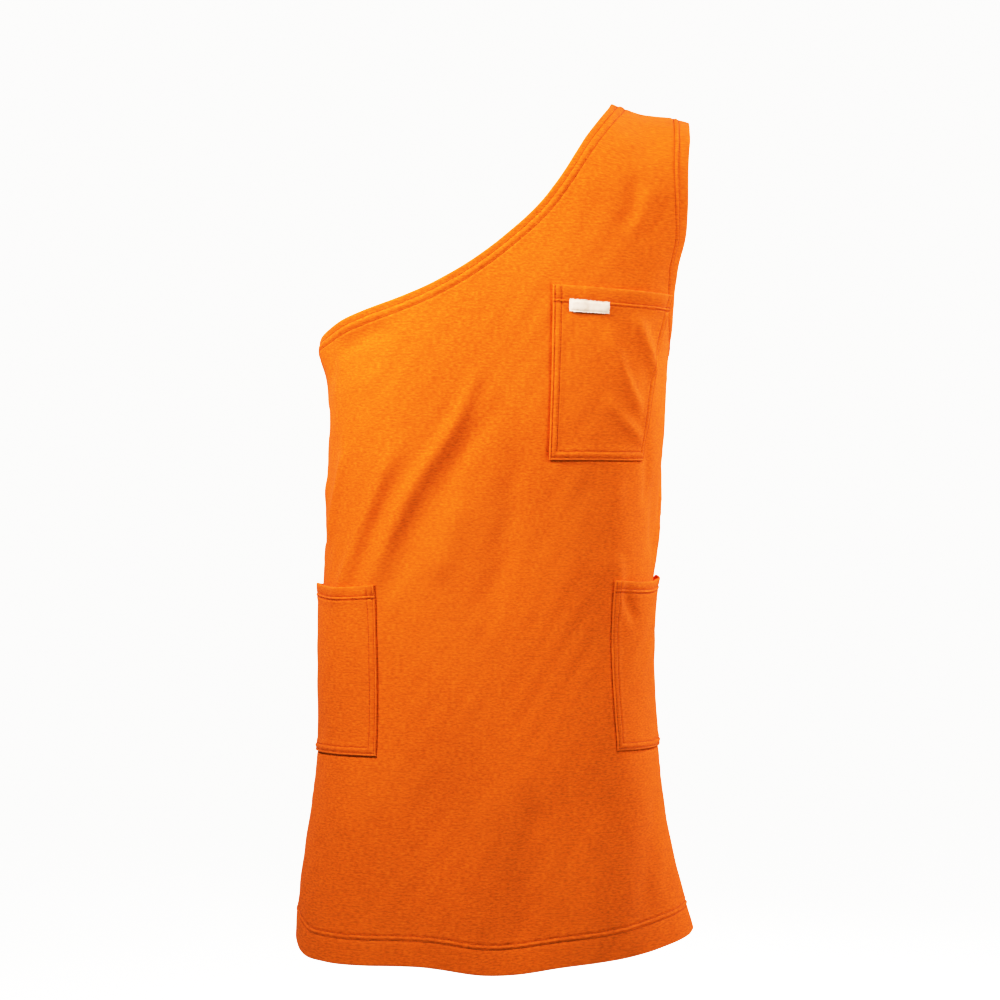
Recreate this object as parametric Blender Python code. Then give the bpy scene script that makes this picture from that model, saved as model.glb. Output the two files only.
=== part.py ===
# Shoulder robe: a one-shouldered vest of orange cotton jersey, worn over the left shoulder
# and under the right arm. Front and back panels, turned hems, one chest pocket, two hip
# pockets that wrap round the side seams, and a small blank woven label.
#
# Metres, +Z up, -Y is the front and +X the wearer's left. The origin is under the middle of
# the strap, where the shoulder carries it. A place on the cloth is an angle round the body
# and a drop down from the shoulder line: 0 degrees is the left side seam, 90 the middle of
# the front, 180 the right side seam and 270 the middle of the back.
from collections import namedtuple
from math import pi, radians, sqrt

import bpy
import numpy as np
from mathutils import Vector
from mathutils.geometry import delaunay_2d_cdt
from mathutils.kdtree import KDTree

NAME = "shoulder_robe"

# Cloth walls and the gaps between sewn layers
PANEL_CLOTH = 0.0012
HEM_CLOTH = 0.0010
POCKET_CLOTH = 0.0010
LABEL_CLOTH = 0.0010
GAP = 0.0003

# Widths of the turned hems
NECK_HEM = 0.0125
ARMHOLE_HEM = 0.0115
BOTTOM_HEM = 0.026
POCKET_MOUTH_HEM = 0.014
POCKET_SIDE_TURNING = 0.008

# How closely the cloth is faceted: a staggered grid between the lines of the cut
GRID = 0.025
ROW = GRID * sqrt(3) / 2
CLEAR_OF_LINES = 0.55 * GRID
EDGE_STEP = 0.016
LEAST_STEP = 0.0002
FOLD_FOOT = 1.5  # a fold's foot, in widths from its crest
SHARP_EDGE = radians(50)

# The body's middle, and how the shoulders round over from the ridge to the chest
BODY_MIDDLE = -0.132
CAP_LENGTH = 0.142
CAP_HEIGHT = 0.080
RIDGE_FADE = 0.25
CLOTH_RADIUS = 0.146  # metres of cloth for each radian round the body

Section = namedtuple("Section", "height right left front back centre_y squareness")
SECTIONS = (
    Section(0.000, 0.205, 0.208, 0.100, 0.100, 0.000, 2.2),
    Section(-0.080, 0.190, 0.190, 0.108, 0.108, 0.000, 2.3),
    Section(-0.140, 0.166, 0.164, 0.116, 0.112, 0.000, 2.4),
    Section(-0.190, 0.1535, 0.150, 0.119, 0.112, 0.000, 2.5),
    Section(-0.280, 0.150, 0.143, 0.118, 0.106, 0.000, 2.5),
    Section(-0.385, 0.152, 0.1338, 0.113, 0.104, 0.002, 2.4),
    Section(-0.464, 0.1575, 0.1315, 0.113, 0.110, 0.004, 2.3),
    Section(-0.540, 0.159, 0.137, 0.117, 0.118, 0.008, 2.3),
    Section(-0.618, 0.168, 0.148, 0.121, 0.122, 0.012, 2.3),
    Section(-0.740, 0.182, 0.1755, 0.131, 0.128, 0.020, 2.4),
)

# The saddle of the shoulder line: how high the strap's underside is across the strap
Saddle = namedtuple("Saddle", "x height")
SHOULDER = (
    Saddle(-0.060, 0.016),
    Saddle(-0.035, 0.010),
    Saddle(-0.020, 0.0045),
    Saddle(-0.008, 0.001),
    Saddle(0.000, 0.000),
    Saddle(0.017, -0.0017),
    Saddle(0.035, -0.0068),
    Saddle(0.060, -0.017),
)

# Edges of the cut, each a smooth line through its rows
Place = namedtuple("Place", "angle drop")
NECKLINE = (
    Place(43.0, 0.000),
    Place(44.5, 0.036),
    Place(54.5, 0.096),
    Place(67.5, 0.141),
    Place(88.5, 0.179),
    Place(119.0, 0.218),
    Place(152.0, 0.2445),
    Place(174.5, 0.260),
    Place(180.0, 0.264),
    Place(190.0, 0.257),
    Place(212.0, 0.238),
    Place(243.0, 0.209),
    Place(271.0, 0.174),
    Place(292.5, 0.136),
    Place(305.5, 0.092),
    Place(315.5, 0.036),
    Place(317.0, 0.000),
)
ARMHOLE = (
    Place(21.5, 0.000),
    Place(22.0, 0.066),
    Place(22.5, 0.112),
    Place(21.8, 0.148),
    Place(20.5, 0.176),
    Place(20.8, 0.204),
    Place(17.5, 0.231),
    Place(9.0, 0.252),
    Place(0.0, 0.262),
    Place(-9.0, 0.252),
    Place(-17.5, 0.229),
    Place(-21.0, 0.196),
    Place(-22.0, 0.148),
    Place(-22.5, 0.104),
    Place(-22.0, 0.060),
    Place(-21.5, 0.000),
)
HEMLINE = (
    Place(-90.0, 0.785),
    Place(-50.0, 0.783),
    Place(-20.0, 0.776),
    Place(0.0, 0.772),
    Place(24.5, 0.776),
    Place(45.0, 0.784),
    Place(68.0, 0.790),
    Place(85.0, 0.7955),
    Place(95.0, 0.796),
    Place(116.5, 0.790),
    Place(150.0, 0.791),
    Place(161.0, 0.789),
    Place(173.0, 0.778),
    Place(180.0, 0.774),
    Place(200.0, 0.779),
    Place(230.0, 0.784),
    Place(270.0, 0.785),
)

# Patch pockets by their corners, at the low-angle and the high-angle side, and how far the
# mouth stands open at its middle
Pocket = namedtuple("Pocket", "name mouth_low mouth_high bottom_low bottom_high gape")
POCKETS = (
    Pocket(
        "chest_pocket",
        mouth_low=Place(20.6, 0.2225),
        mouth_high=Place(69.0, 0.218),
        bottom_low=Place(30.5, 0.364),
        bottom_high=Place(70.5, 0.364),
        gape=0.0012,
    ),
    Pocket(
        "right_hip_pocket",
        mouth_low=Place(139.5, 0.470),
        mouth_high=Place(209.0, 0.470),
        bottom_low=Place(137.5, 0.614),
        bottom_high=Place(207.5, 0.617),
        gape=0.0058,
    ),
    Pocket(
        "left_hip_pocket",
        mouth_low=Place(-41.0, 0.468),
        mouth_high=Place(42.0, 0.466),
        bottom_low=Place(-40.0, 0.613),
        bottom_high=Place(42.0, 0.610),
        gape=0.0056,
    ),
)
LABEL_CORNERS = (
    Place(48.4, 0.2300),
    Place(63.0, 0.2285),
    Place(63.0, 0.2400),
    Place(48.6, 0.2410),
)

# The largest folds, from one end to the other: a ridge has a positive height, a trough a
# negative one. The first is the neck hem standing out under the right arm. The last four,
# on the back, are like those that show on the front.
Fold = namedtuple("Fold", "start end width height")
FOLDS = (
    Fold(Place(158.0, 0.268), Place(202.0, 0.268), 0.018, 0.0062),
    Fold(Place(149.0, 0.462), Place(111.0, 0.338), 0.013, 0.0045),
    Fold(Place(163.0, 0.462), Place(136.0, 0.352), 0.012, 0.0035),
    Fold(Place(139.0, 0.456), Place(100.0, 0.314), 0.014, -0.0045),
    Fold(Place(75.0, 0.640), Place(82.0, 0.775), 0.024, -0.0045),
    Fold(Place(25.0, 0.655), Place(37.0, 0.760), 0.020, -0.0040),
    Fold(Place(212.0, 0.455), Place(248.0, 0.345), 0.014, 0.0040),
    Fold(Place(222.0, 0.452), Place(262.0, 0.330), 0.014, -0.0040),
    Fold(Place(250.0, 0.610), Place(243.0, 0.765), 0.024, -0.0050),
    Fold(Place(-52.0, 0.620), Place(-47.0, 0.768), 0.022, -0.0045),
)

Finish = namedtuple("Finish", "colour roughness")
FINISHES = {
    "panel_jersey": Finish((0.80, 0.175, 0.022), 0.88),
    "hem_jersey": Finish((0.76, 0.160, 0.020), 0.88),
    "pocket_jersey": Finish((0.78, 0.168, 0.021), 0.88),
    "label_tape": Finish((0.82, 0.76, 0.66), 0.80),
}


def through(stops, values, at):
    # A smooth curve through a table's values, with the slope at a row shared by its two sides
    stops = np.asarray(stops, float)
    values = np.asarray(values, float)
    spans = np.diff(stops)
    slopes = np.diff(values) / spans
    shared = (slopes[:-1] * spans[1:] + slopes[1:] * spans[:-1]) / (spans[1:] + spans[:-1])
    tangents = np.concatenate([slopes[:1], shared, slopes[-1:]])
    at = np.clip(at, stops[0], stops[-1])
    row = np.clip(np.searchsorted(stops, at) - 1, 0, len(spans) - 1)
    span = spans[row]
    t = (at - stops[row]) / span
    rise = (3 - 2 * t) * t * t
    return (
        values[row] * (1 - rise)
        + values[row + 1] * rise
        + tangents[row] * span * t * (1 - t) ** 2
        - tangents[row + 1] * span * t * t * (1 - t)
    )


def smoothstep(value):
    value = np.clip(value, 0, 1)
    return value * value * (3 - 2 * value)


def section_value(column, height):
    rising = SECTIONS[::-1]
    return through([s.height for s in rising], [getattr(s, column) for s in rising], height)


def form(angle, drop):
    # The panels' outer face: rounded sections round a general torso, closing over the
    # shoulders to a ridge at y = 0
    over = np.minimum(drop / CAP_LENGTH, 1) * pi / 2
    height = -CAP_HEIGHT * (1 - np.cos(over)) - np.maximum(drop - CAP_LENGTH, 0)
    across, ahead = np.cos(angle), np.sin(angle)
    half_width = np.where(across > 0, section_value("left", height), section_value("right", height))
    half_depth = np.where(ahead > 0, section_value("front", height), section_value("back", height))
    power = section_value("squareness", height)
    reach = ((abs(across) / half_width) ** power + (abs(ahead) / half_depth) ** power) ** (-1 / power)
    x = BODY_MIDDLE + reach * across
    y = section_value("centre_y", height) - reach * ahead * np.sin(over)
    saddle = through([s.x for s in SHOULDER], [s.height for s in SHOULDER], x)
    return np.stack([x, y, height + saddle * smoothstep(1 - drop / RIDGE_FADE) + PANEL_CLOTH], axis=-1)


def form_normals(angle, drop):
    turn, step = 0.002, 0.0003
    round_body = form(angle + turn, drop) - form(angle - turn, drop)
    down_body = form(angle, drop + step) - form(angle, drop - step)
    normals = np.cross(round_body, down_body)
    return normals / np.linalg.norm(normals, axis=-1, keepdims=True)


def flat(place):
    return np.array([radians(place.angle) * CLOTH_RADIUS, place.drop])


def fold_height(points):
    # How far the folds lift each flat point out of the form: rounded across, fading at the ends
    height = np.zeros(len(points))
    for fold in FOLDS:
        start, end = flat(fold.start), flat(fold.end)
        line = end - start
        along = (points - start) @ line / (line @ line)
        aside = np.linalg.norm(points - start - np.clip(along, 0, 1)[:, None] * line, axis=1)
        fade = smoothstep(4 * along) * smoothstep(4 * (1 - along))
        height += fold.height * fade * np.exp(-((aside / fold.width) ** 2))
    return height


# Lines on the flat cloth
def smooth_line(rows):
    # A smooth line through every row, with a point about every step between them
    points = np.array([flat(row) for row in rows])
    spans = np.linalg.norm(np.diff(points, axis=0), axis=1)
    along = np.concatenate([[0], np.cumsum(spans)])
    counts = np.maximum(1, np.round(spans / EDGE_STEP)).astype(int)
    stops = [np.linspace(along[i], along[i + 1], n, endpoint=False) for i, n in enumerate(counts)]
    stops = np.concatenate([*stops, along[-1:]])
    return np.stack([through(along, points[:, 0], stops), through(along, points[:, 1], stops)], axis=1)


def straight_line(start, end):
    count = max(1, round(np.linalg.norm(end - start) / EDGE_STEP))
    return start + (end - start) * np.linspace(0, 1, count + 1)[:, None]


def beside(line, width):
    # The line moved to its left by width, and run past both ends so that it cuts right across
    direction = np.gradient(line, axis=0)
    direction /= np.linalg.norm(direction, axis=1, keepdims=True)
    moved = line + width * np.stack([-direction[:, 1], direction[:, 0]], axis=1)
    past = 0.006
    return np.vstack([moved[:1] - past * direction[:1], moved, moved[-1:] + past * direction[-1:]])


def wrapped(line):
    # The line cut at the middle of the back, where the flat cloth's two sides meet
    beyond = line[:, 0] > BACK_HIGH
    if not beyond.any():
        return [line]
    first = int(np.argmax(beyond))
    before, after = line[first - 1], line[first]
    share = (BACK_HIGH - before[0]) / (after[0] - before[0])
    crossing = before + share * (after - before)
    return [np.vstack([line[:first], crossing]), np.vstack([crossing, line[first:]]) - WHOLE_TURN]


def line_at(line, width):
    # The line's point nearest to this far round the body
    return line[np.argmin(abs(line[:, 0] - width))]


def quad(corners):
    sides = [straight_line(corners[i], corners[(i + 1) % 4]) for i in range(4)]
    return np.vstack([side[:-1] for side in sides])


def inside(points, outline):
    # Even-odd test of flat points against a closed outline
    found = np.zeros(len(points), bool)
    ends = np.roll(outline, -1, axis=0)
    for (ax, ay), (bx, by) in zip(outline, ends):
        if ay == by:
            continue
        spans = (ay > points[:, 1]) != (by > points[:, 1])
        found ^= spans & (points[:, 0] < ax + (points[:, 1] - ay) * (bx - ax) / (by - ay))
    return found


BACK_LOW = -pi / 2 * CLOTH_RADIUS
BACK_HIGH = 3 * pi / 2 * CLOTH_RADIUS
RIGHT_SEAM = pi * CLOTH_RADIUS
WHOLE_TURN = np.array([BACK_HIGH - BACK_LOW, 0])

neckline = smooth_line(NECKLINE)
armhole = smooth_line(ARMHOLE)
hemline = smooth_line(HEMLINE)
neck_hem_line = beside(neckline, NECK_HEM)
armhole_hem_line = beside(armhole, -ARMHOLE_HEM)
bottom_hem_line = hemline - np.array([0, BOTTOM_HEM])


def pocket_corners(pocket):
    return [flat(p) for p in (pocket.mouth_low, pocket.mouth_high, pocket.bottom_high, pocket.bottom_low)]


def pocket_opening(pocket):
    # Corners of the single cloth inside the pocket's turned edges
    low_mouth, high_mouth, high_bottom, low_bottom = pocket_corners(pocket)
    width = np.linalg.norm(high_mouth - low_mouth)
    depth = np.linalg.norm(low_bottom - low_mouth)
    side = POCKET_SIDE_TURNING / width
    top, foot = POCKET_MOUTH_HEM / depth, 1 - POCKET_SIDE_TURNING / depth

    def at(across, down):
        upper = low_mouth + across * (high_mouth - low_mouth)
        lower = low_bottom + across * (high_bottom - low_bottom)
        return upper + down * (lower - upper)

    return [at(side, top), at(1 - side, top), at(1 - side, foot), at(side, foot)]


def pocket_place(pocket, points):
    # How far across the pocket and how far up towards its mouth each flat point lies, 0 to 1
    low_mouth, high_mouth, high_bottom, low_bottom = pocket_corners(pocket)
    top = (low_mouth[1] + high_mouth[1]) / 2
    foot = (low_bottom[1] + high_bottom[1]) / 2
    up = np.clip((foot - points[:, 1]) / (foot - top), 0, 1)
    low = low_bottom[0] + up * (low_mouth[0] - low_bottom[0])
    high = high_bottom[0] + up * (high_mouth[0] - high_bottom[0])
    return np.clip((points[:, 0] - low) / (high - low), 0, 1), up


def pocket_lift(pocket, points):
    across, up = pocket_place(pocket, points)
    return pocket.gape * (np.sin(pi * across) * up) ** 1.5


def triangulate(lines, loops, spots):
    # Flat triangles over the whole cloth that keep every line, with a staggered grid between
    points, edges = [], []
    for line, closed in [(line, False) for line in lines] + [(loop, True) for loop in loops]:
        first = len(points)
        points += [tuple(p) for p in line]
        edges += [(first + i, first + i + 1) for i in range(len(line) - 1)]
        if closed:
            edges.append((len(points) - 1, first))
    points += [tuple(p) for p in spots]
    tree = KDTree(len(points))
    for i, (u, v) in enumerate(points):
        tree.insert((u, v, 0), i)
    tree.balance()
    for number, v in enumerate(np.arange(0, hemline[:, 1].max(), ROW)):
        stagger = GRID / 2 if number % 2 else GRID
        for u in np.arange(BACK_LOW + stagger, BACK_HIGH, GRID):
            if tree.find((u, v, 0))[2] > CLEAR_OF_LINES:
                points.append((u, v))
    found = delaunay_2d_cdt([Vector(p) for p in points], edges, [], 0, LEAST_STEP)
    return np.array([tuple(p) for p in found[0]]), np.array(found[2])


def cloth_mesh():
    back_top = wrapped(neckline)[0][-1]
    back_foot = np.array([BACK_HIGH, hemline[-1, 1]])
    hem_stop = back_foot - np.array([0, BOTTOM_HEM])
    neck_stop = wrapped(neck_hem_line)[0][-1]
    stops = (back_foot, hem_stop, neck_stop, back_top)
    stretches = [straight_line(low, high) for low, high in zip(stops, stops[1:])]
    centre_back = np.vstack([stretches[0][:-1], stretches[1][:-1], stretches[2]])
    other_side = centre_back - WHOLE_TURN
    side_seams = [
        straight_line(line_at(armhole, 0), line_at(hemline, 0)),
        straight_line(line_at(neckline, RIGHT_SEAM), line_at(hemline, RIGHT_SEAM)),
    ]
    shoulder_seams = [
        straight_line(armhole[0], neckline[0]),
        straight_line(armhole[-1], neckline[-1] - WHOLE_TURN),
    ]
    lines = [armhole, armhole_hem_line, hemline, bottom_hem_line, centre_back, other_side]
    lines += side_seams + shoulder_seams + wrapped(neckline) + wrapped(neck_hem_line)
    loops = [quad([flat(p) for p in LABEL_CORNERS])]
    for pocket in POCKETS:
        loops += [quad(pocket_corners(pocket)), quad(pocket_opening(pocket))]
    spots = []
    for fold in FOLDS:
        crest = straight_line(flat(fold.start), flat(fold.end))[1:-1]
        line = flat(fold.end) - flat(fold.start)
        square = np.array([-line[1], line[0]]) / np.linalg.norm(line) * fold.width * FOLD_FOOT
        spots += [*crest, *(crest + square), *(crest - square)]
    return triangulate(lines, loops, spots)


def garment_outline():
    front_and_right, back_left = wrapped(neckline)
    return np.vstack([hemline, front_and_right[::-1], armhole, back_left[::-1]])


Cloth = namedtuple("Cloth", "points triangles centres")


def cut_cloth():
    # The flat triangles of the whole garment, inside its outline
    points, triangles = cloth_mesh()
    centres = points[triangles].mean(axis=1)
    kept = inside(centres, garment_outline())
    return Cloth(points, joined_at_back(points, triangles[kept]), centres[kept])


def joined_at_back(points, triangles):
    # The two sides of the flat cloth share their points down the middle of the back
    low = np.flatnonzero(abs(points[:, 0] - BACK_LOW) < 2 * LEAST_STEP)
    high = np.flatnonzero(abs(points[:, 0] - BACK_HIGH) < 2 * LEAST_STEP)
    same = np.arange(len(points))
    for i in high:
        same[i] = low[np.argmin(abs(points[low, 1] - points[i, 1]))]
    return same[triangles]


def cleared_from_seams(points, panel_side):
    # A panel's edge points, moved half a gap off each seam that they lie on
    moved = points.copy()
    for seam, to_front in ((0, 1), (RIGHT_SEAM, -1)):
        on_seam = abs(points[:, 0] - seam) < 2 * LEAST_STEP
        moved[on_seam, 0] = seam + to_front * panel_side * GAP / 2
    moved[:, 1] = np.maximum(points[:, 1], GAP / 2)
    return moved


def on_body(points, offset):
    # Flat points laid on the folded form, moved out of it along its normals
    angle, drop = points[:, 0] / CLOTH_RADIUS, points[:, 1]
    out = fold_height(points) + offset
    return form(angle, drop) + form_normals(angle, drop) * out[:, None]


def boundary(triangles):
    edges = {}
    for a, b, c in triangles:
        for pair in ((a, b), (b, c), (c, a)):
            edges[pair] = True
    return [(a, b) for a, b in edges if (b, a) not in edges]


def make_piece(name, finish, chosen, points, inner, outer):
    # One closed wall over the chosen triangles. Both faces stand on the form's normals, as
    # the neighbours' do, so that gaps and seams keep their width round every curve.
    used, index = np.unique(chosen, return_inverse=True)
    chosen = index.reshape(-1, 3)
    inner = inner[used] if np.ndim(inner) else inner
    outer = outer[used] if np.ndim(outer) else outer
    under = on_body(points[used], inner)
    over = on_body(points[used], outer)
    count = len(used)
    faces = [tuple(t) for t in chosen] + [tuple(count + i for i in t[::-1]) for t in chosen]
    faces += [(b, a, count + a, count + b) for a, b in boundary([tuple(t) for t in chosen])]
    mesh = bpy.data.meshes.new(name)
    mesh.from_pydata([tuple(p) for p in np.vstack([over, under])], [], faces)
    mesh.shade_smooth()
    mesh.set_sharp_from_angle(angle=SHARP_EDGE)
    mesh.materials.append(material_for(finish))
    piece = bpy.data.objects.new(name, mesh)
    bpy.data.collections[NAME].objects.link(piece)
    return piece


def material_for(finish):
    if finish in bpy.data.materials:
        return bpy.data.materials[finish]
    material = bpy.data.materials.new(finish)
    material.use_nodes = True
    shader = material.node_tree.nodes["Principled BSDF"]
    shader.inputs["Base Color"].default_value = (*FINISHES[finish].colour, 1)
    shader.inputs["Roughness"].default_value = FINISHES[finish].roughness
    shader.inputs["Metallic"].default_value = 0
    material.diffuse_color = (*FINISHES[finish].colour, 1)
    return material


def make_panels(cloth):
    # Each panel, with its turned hems as strips inside it along the neck, armhole and foot
    round_neck = np.vstack([neckline, neck_hem_line[::-1]])
    round_arm = np.vstack([armhole, armhole_hem_line[::-1]])
    round_foot = np.vstack([hemline, bottom_hem_line[::-1]])
    centres = cloth.centres
    strips = {
        "neck_hem": inside(centres, round_neck) | inside(centres + WHOLE_TURN, round_neck),
        "armhole_hem": inside(centres, round_arm),
        "bottom_hem": inside(centres, round_foot),
    }
    in_front = (centres[:, 0] > 0) & (centres[:, 0] < RIGHT_SEAM)
    for panel, chosen in (("front", in_front), ("back", ~in_front)):
        points = cleared_from_seams(cloth.points, 1 if panel == "front" else -1)
        make_piece(panel, "panel_jersey", cloth.triangles[chosen], points, -PANEL_CLOTH, 0)
        for strip, in_strip in strips.items():
            outer = -PANEL_CLOTH - GAP
            part = cloth.triangles[chosen & in_strip]
            make_piece(f"{panel}_{strip}", "hem_jersey", part, points, outer - HEM_CLOTH, outer)


def make_pocket(cloth, pocket):
    # The pocket's cloth lies on its turned edges, which lie on the panels
    in_pocket = inside(cloth.centres, quad(pocket_corners(pocket)))
    single = inside(cloth.centres, quad(pocket_opening(pocket)))
    seat = GAP + pocket_lift(pocket, cloth.points)
    turning_top = seat + POCKET_CLOTH
    face = turning_top + GAP
    turned = cloth.triangles[in_pocket & ~single]
    make_piece(f"{pocket.name}_turning", "hem_jersey", turned, cloth.points, seat, turning_top)
    patch = cloth.triangles[in_pocket]
    make_piece(pocket.name, "pocket_jersey", patch, cloth.points, face, face + POCKET_CLOTH)


def make_label(cloth):
    chest = POCKETS[0]
    chosen = cloth.triangles[inside(cloth.centres, quad([flat(p) for p in LABEL_CORNERS]))]
    seat = 3 * GAP + 2 * POCKET_CLOTH + pocket_lift(chest, cloth.points)
    make_piece("label", "label_tape", chosen, cloth.points, seat, seat + LABEL_CLOTH)


def main():
    for old in list(bpy.data.objects):
        bpy.data.objects.remove(old, do_unlink=True)
    bpy.context.scene.collection.children.link(bpy.data.collections.new(NAME))
    cloth = cut_cloth()
    make_panels(cloth)
    for pocket in POCKETS:
        make_pocket(cloth, pocket)
    make_label(cloth)


main()
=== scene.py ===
# Shoulder robe: a one-shouldered vest of orange cotton jersey, hollow as worn, made round its
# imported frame. Metres, +Z up, -Y the front and +X the side of the strap, which is the robe's
# left. A place on the cloth is an angle round the robe and a drop from the shoulder line:
# 0 degrees is the left side seam, 90 the middle of the front, 180 the right side seam and
# 270 the middle of the back.
from math import pi, radians

import bpy
import numpy as np
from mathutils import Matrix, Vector
from mathutils.geometry import delaunay_2d_cdt


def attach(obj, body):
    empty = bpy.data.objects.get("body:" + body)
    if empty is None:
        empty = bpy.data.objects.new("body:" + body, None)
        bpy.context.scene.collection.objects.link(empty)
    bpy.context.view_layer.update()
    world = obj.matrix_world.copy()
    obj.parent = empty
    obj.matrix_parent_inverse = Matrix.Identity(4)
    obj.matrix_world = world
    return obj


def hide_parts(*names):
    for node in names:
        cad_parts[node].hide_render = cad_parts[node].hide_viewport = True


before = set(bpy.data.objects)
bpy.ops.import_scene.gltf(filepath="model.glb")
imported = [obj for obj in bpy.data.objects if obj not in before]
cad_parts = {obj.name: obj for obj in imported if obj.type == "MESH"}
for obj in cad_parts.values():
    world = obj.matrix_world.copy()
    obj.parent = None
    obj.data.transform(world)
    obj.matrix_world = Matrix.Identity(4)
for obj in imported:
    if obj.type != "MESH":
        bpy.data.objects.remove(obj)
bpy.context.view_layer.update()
print("frame loaded:", len(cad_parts), "nodes")


# The form that the cloth hangs on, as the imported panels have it
form = {
    "middle": -0.132,  # the robe's middle, to the right of the strap
    "capLength": 0.142,  # cloth that rounds over from the shoulder line to the chest
    "capHeight": 0.080,
    "ridgeFade": 0.25,  # the drop down to which the shoulder line's slope is felt
    "clothRadius": 0.146,  # metres of cloth for each radian round the robe
    "outerFace": 0.0012,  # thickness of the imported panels
}
# Half widths and half depths at heights below the strap, and how square the round is there
sections = {
    "height": (0.000, -0.080, -0.140, -0.190, -0.280, -0.385, -0.464, -0.540, -0.618, -0.740),
    "right": (0.205, 0.190, 0.166, 0.1535, 0.150, 0.152, 0.1575, 0.159, 0.168, 0.182),
    "left": (0.208, 0.190, 0.164, 0.150, 0.143, 0.1338, 0.1315, 0.137, 0.148, 0.1755),
    "front": (0.100, 0.108, 0.116, 0.119, 0.118, 0.113, 0.113, 0.117, 0.121, 0.131),
    "back": (0.100, 0.108, 0.112, 0.112, 0.106, 0.104, 0.110, 0.118, 0.122, 0.128),
    "centreY": (0, 0, 0, 0, 0, 0.002, 0.004, 0.008, 0.012, 0.020),
    "squareness": (2.2, 2.3, 2.4, 2.5, 2.5, 2.4, 2.3, 2.3, 2.3, 2.4),
}
shoulderLine = {
    "x": (-0.060, -0.035, -0.020, -0.008, 0.000, 0.017, 0.035, 0.060),
    "height": (0.016, 0.010, 0.0045, 0.001, 0.000, -0.0017, -0.0068, -0.017),
}
wholeTurn = 2 * pi * form["clothRadius"]
rightSeam = pi * form["clothRadius"]


def through(stops, values, at):
    # A smooth curve through a table's values
    stops, values = np.asarray(stops, float), np.asarray(values, float)
    spans = np.diff(stops)
    slopes = np.diff(values) / spans
    shared = (slopes[:-1] * spans[1:] + slopes[1:] * spans[:-1]) / (spans[1:] + spans[:-1])
    tangents = np.concatenate([slopes[:1], shared, slopes[-1:]])
    at = np.clip(at, stops[0], stops[-1])
    row = np.clip(np.searchsorted(stops, at) - 1, 0, len(spans) - 1)
    span = spans[row]
    t = (at - stops[row]) / span
    rise = (3 - 2 * t) * t * t
    ends = values[row] * (1 - rise) + values[row + 1] * rise
    return ends + span * t * (1 - t) * (tangents[row] * (1 - t) - tangents[row + 1] * t)


def smoothstep(value):
    value = np.clip(value, 0, 1)
    return value * value * (3 - 2 * value)


def dip(distance, width):
    return np.exp(-((distance / width) ** 2))


def sectionValue(column, height):
    return through(sections["height"][::-1], sections[column][::-1], height)


def bodyPlace(angle, drop):
    over = np.minimum(drop / form["capLength"], 1) * pi / 2
    height = -form["capHeight"] * (1 - np.cos(over)) - np.maximum(drop - form["capLength"], 0)
    across, ahead = np.cos(angle), np.sin(angle)
    wide = np.where(across > 0, sectionValue("left", height), sectionValue("right", height))
    deep = np.where(ahead > 0, sectionValue("front", height), sectionValue("back", height))
    power = sectionValue("squareness", height)
    reach = ((abs(across) / wide) ** power + (abs(ahead) / deep) ** power) ** (-1 / power)
    x = form["middle"] + reach * across
    y = sectionValue("centreY", height) - reach * ahead * np.sin(over)
    saddle = through(shoulderLine["x"], shoulderLine["height"], x)
    z = height + saddle * smoothstep(1 - drop / form["ridgeFade"]) + form["outerFace"]
    return np.stack([x, y, z], axis=-1)


def bodyNormal(angle, drop):
    turn, step = 0.002, 0.0003
    roundBody = bodyPlace(angle + turn, drop) - bodyPlace(angle - turn, drop)
    downBody = bodyPlace(angle, drop + step) - bodyPlace(angle, drop - step)
    normal = np.cross(roundBody, downBody)
    return normal / np.linalg.norm(normal, axis=-1, keepdims=True)


def flat(places):
    places = np.asarray(places, float)
    return np.stack([np.radians(places[:, 0]) * form["clothRadius"], places[:, 1]], axis=1)


def smoothLine(places, step):
    # A smooth line on the flat cloth through every place, with a point about every step
    points = flat(places)
    spans = np.linalg.norm(np.diff(points, axis=0), axis=1)
    along = np.concatenate([[0], np.cumsum(spans)])
    counts = np.maximum(1, np.round(spans / step)).astype(int)
    stops = [np.linspace(a, b, n, endpoint=False) for a, b, n in zip(along, along[1:], counts)]
    stops = np.concatenate([*stops, along[-1:]])
    return np.stack([through(along, points[:, 0], stops), through(along, points[:, 1], stops)], axis=1)


def straightLine(start, end, step):
    count = max(1, round(np.linalg.norm(end - start) / step))
    return start + (end - start) * np.linspace(0, 1, count + 1)[:, None]


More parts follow.
